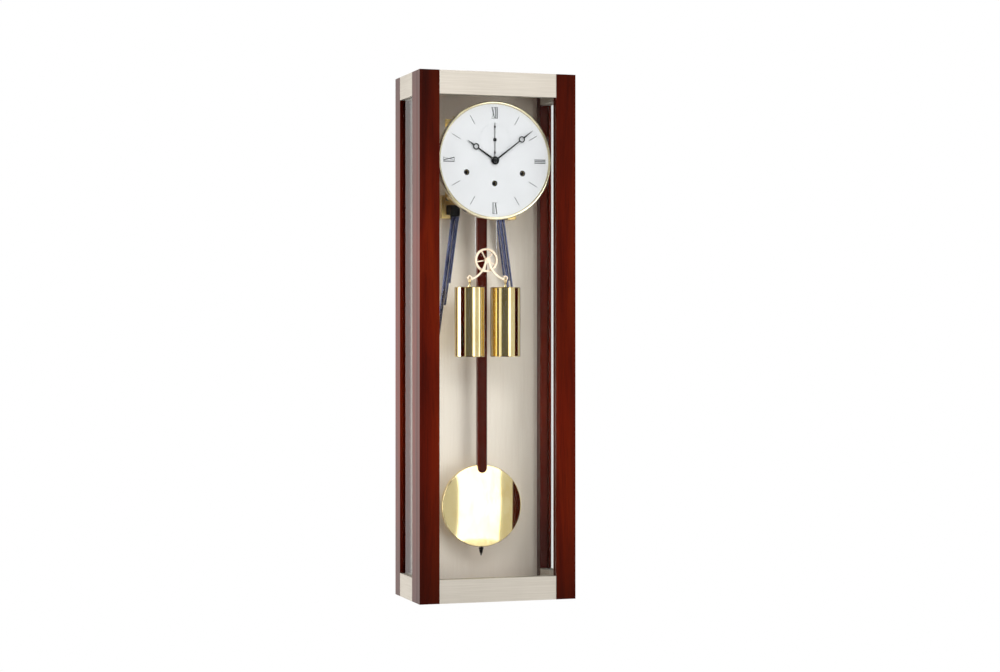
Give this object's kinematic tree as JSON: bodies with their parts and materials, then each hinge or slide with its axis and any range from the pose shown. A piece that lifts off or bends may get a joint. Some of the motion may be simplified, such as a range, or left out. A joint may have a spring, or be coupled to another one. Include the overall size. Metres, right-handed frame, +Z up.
{
  "type": "pendulum wall clock",
  "caption": "Tall glazed wooden wall clock with a round Roman dial, open brass movement, weights on a pulley, gong rods and a pendulum.",
  "frame": {"origin": "centre of the keyhole in the hanger plate, on the plane of the wall, 50 mm below the top", "axes": "+X to the right of the dial as it is read, +Y into the wall, +Z up"},
  "size_m": [0.28, 0.158, 0.9],
  "materials": {
    "mahogany": "polished red-brown mahogany",
    "plain_wood": "plain stained board",
    "brushed_metal": "fine horizontal brushing",
    "brushed_panel": "champagne-coloured brushed sheet",
    "glass": "clear flat glass",
    "dark_steel": "blackened steel",
    "hinge_brass": "satin",
    "movement_brass": "fine satin brass",
    "silvered_dial": "satin silver white",
    "pale_gold": "polished pale gold",
    "black_hands": "gloss black",
    "bright_steel": "bright steel",
    "polished_brass": "mirror polish",
    "pale_brass": "polished pale brass",
    "blued_steel": "tempered blue-grey"
  },
  "bodies": {
    "case": {"top_board": "plain_wood", "bottom_board": "plain_wood", "back_board": "plain_wood", "back_panel": "brushed_panel", "hanger_plate": "dark_steel", "back_screws": "dark_steel", "side_post_front_left": "mahogany", "side_post_rear_left": "mahogany", "side_rail_top_left": "brushed_metal", "side_rail_bottom_left": "brushed_metal", "side_glass_left": "glass", "side_post_front_right": "mahogany", "side_post_rear_right": "mahogany", "side_rail_top_right": "brushed_metal", "side_rail_bottom_right": "brushed_metal", "side_glass_right": "glass", "case_hinge_leaves": "hinge_brass", "door_catch": "dark_steel", "movement_front_plate": "movement_brass", "movement_back_plate": "movement_brass", "movement_pillars": "movement_brass", "pillar_nuts": "dark_steel", "movement_posts": "movement_brass", "dial_plate": "silvered_dial", "dial_bezel": "pale_gold", "suspension_cock": "movement_brass", "cable": "bright_steel", "gong_brackets": "movement_brass", "gong_blocks": "dark_steel", "gong_rods_left": "blued_steel", "gong_rods_right": "blued_steel"},
    "door": {"door_post_left": "mahogany", "door_post_right": "mahogany", "door_rail_top": "brushed_metal", "door_rail_bottom": "brushed_metal", "door_glass": "glass", "door_hinge_leaves": "hinge_brass"},
    "great": {"great_wheel": "movement_brass"},
    "centre": {"centre_wheel": "movement_brass"},
    "third": {"third_wheel": "movement_brass"},
    "escape": {"escape_wheel": "movement_brass"},
    "seconds": {"seconds_hand": "black_hands"},
    "minute": {"cannon_pinion": "movement_brass", "minute_hand": "black_hands"},
    "motion": {"minute_wheel": "movement_brass"},
    "hour": {"hour_wheel": "movement_brass", "hour_hand": "black_hands"},
    "drum": {"cable_drum": "movement_brass"},
    "strike": {"strike_barrel": "movement_brass"},
    "chime": {"chime_barrel": "movement_brass"},
    "anchor": {"pallet_anchor": "bright_steel"},
    "pendulum": {"suspension_spring": "bright_steel", "pendulum_rod": "mahogany", "rating_screw": "dark_steel", "pendulum_bob": "polished_brass"},
    "rating": {"rate_nut": "dark_steel"},
    "weights": {"pulley_yoke": "pale_brass", "weight_left": "polished_brass", "weight_right": "polished_brass"},
    "sheave": {"pulley": "pale_brass"}
  },
  "joints": [
    {"name": "door_swing", "type": "hinge", "parent": "case", "child": "door", "pos_m": [0.139, -0.141, -0.4], "axis": [0, 0, 1], "range_deg": [0, 115]},
    {"name": "minute_turn", "type": "hinge", "parent": "case", "child": "minute", "pos_m": [0, -0.13, -0.099], "axis": [0, 1, 0], "continuous": true},
    {"name": "minute_wheel_turn", "type": "hinge", "parent": "case", "child": "motion", "pos_m": [-0.01018, -0.123, -0.10918], "axis": [0, 1, 0], "continuous": true},
    {"name": "hour_turn", "type": "hinge", "parent": "case", "child": "hour", "pos_m": [0, -0.13, -0.099], "axis": [0, 1, 0], "continuous": true},
    {"name": "third_turn", "type": "hinge", "parent": "case", "child": "third", "pos_m": [0.0125, -0.095, -0.07575], "axis": [0, 1, 0], "continuous": true},
    {"name": "great_turn", "type": "hinge", "parent": "case", "child": "great", "pos_m": [0, -0.1117, -0.138], "axis": [0, 1, 0], "continuous": true},
    {"name": "centre_turn", "type": "hinge", "parent": "case", "child": "centre", "pos_m": [0, -0.095, -0.099], "axis": [0, 1, 0], "continuous": true},
    {"name": "escape_turn", "type": "hinge", "parent": "case", "child": "escape", "pos_m": [0.0169, -0.095, -0.05933], "axis": [0, 1, 0], "continuous": true},
    {"name": "seconds_turn", "type": "hinge", "parent": "case", "child": "seconds", "pos_m": [0, -0.095, -0.0635], "axis": [0, 1, 0], "continuous": true},
    {"name": "pendulum_swing", "type": "hinge", "parent": "case", "child": "pendulum", "pos_m": [0, -0.058, -0.05], "axis": [0, 1, 0], "range_deg": [-3.5, 3.5]},
    {"name": "anchor_rock", "type": "hinge", "parent": "case", "child": "anchor", "pos_m": [0, -0.095, -0.05], "axis": [0, 1, 0], "range_deg": [-3.6, 3.6]},
    {"name": "rate_nut_turn", "type": "hinge", "parent": "pendulum", "child": "rating", "pos_m": [0, -0.058, -0.775], "axis": [0, 0, 1], "continuous": true},
    {"name": "weight_drop", "type": "slide", "parent": "case", "child": "weights", "axis": [0, 0, 1], "range_m": [-0.34, 0.04], "deforming": ["cable"]},
    {"name": "drum_turn", "type": "hinge", "parent": "case", "child": "drum", "pos_m": [0, -0.095, -0.138], "axis": [0, 1, 0], "range_deg": [-245, 2045]},
    {"name": "pulley_spin", "type": "hinge", "parent": "weights", "child": "sheave", "pos_m": [0, -0.087, -0.2675], "axis": [0, 1, 0], "range_deg": [-125, 1025]},
    {"name": "strike_winding", "type": "hinge", "parent": "case", "child": "strike", "pos_m": [-0.05, -0.095, -0.12], "axis": [0, 1, 0], "continuous": true},
    {"name": "chime_winding", "type": "hinge", "parent": "case", "child": "chime", "pos_m": [0.05, -0.095, -0.12], "axis": [0, 1, 0], "continuous": true}
  ],
  "couplings": [
    {"joint": "minute_wheel_turn", "follows": "minute_turn", "ratio": -0.33333},
    {"joint": "hour_turn", "follows": "minute_turn", "ratio": 0.083333},
    {"joint": "great_turn", "follows": "third_turn", "ratio": 0.0083333},
    {"joint": "centre_turn", "follows": "third_turn", "ratio": -0.1},
    {"joint": "escape_turn", "follows": "third_turn", "ratio": -7.5},
    {"joint": "seconds_turn", "follows": "third_turn", "ratio": -6},
    {"joint": "anchor_rock", "follows": "pendulum_swing", "ratio": 1},
    {"joint": "drum_turn", "follows": "weight_drop", "rad_per_m": -104.71},
    {"joint": "pulley_spin", "follows": "weight_drop", "rad_per_m": -52.356}
  ]
}
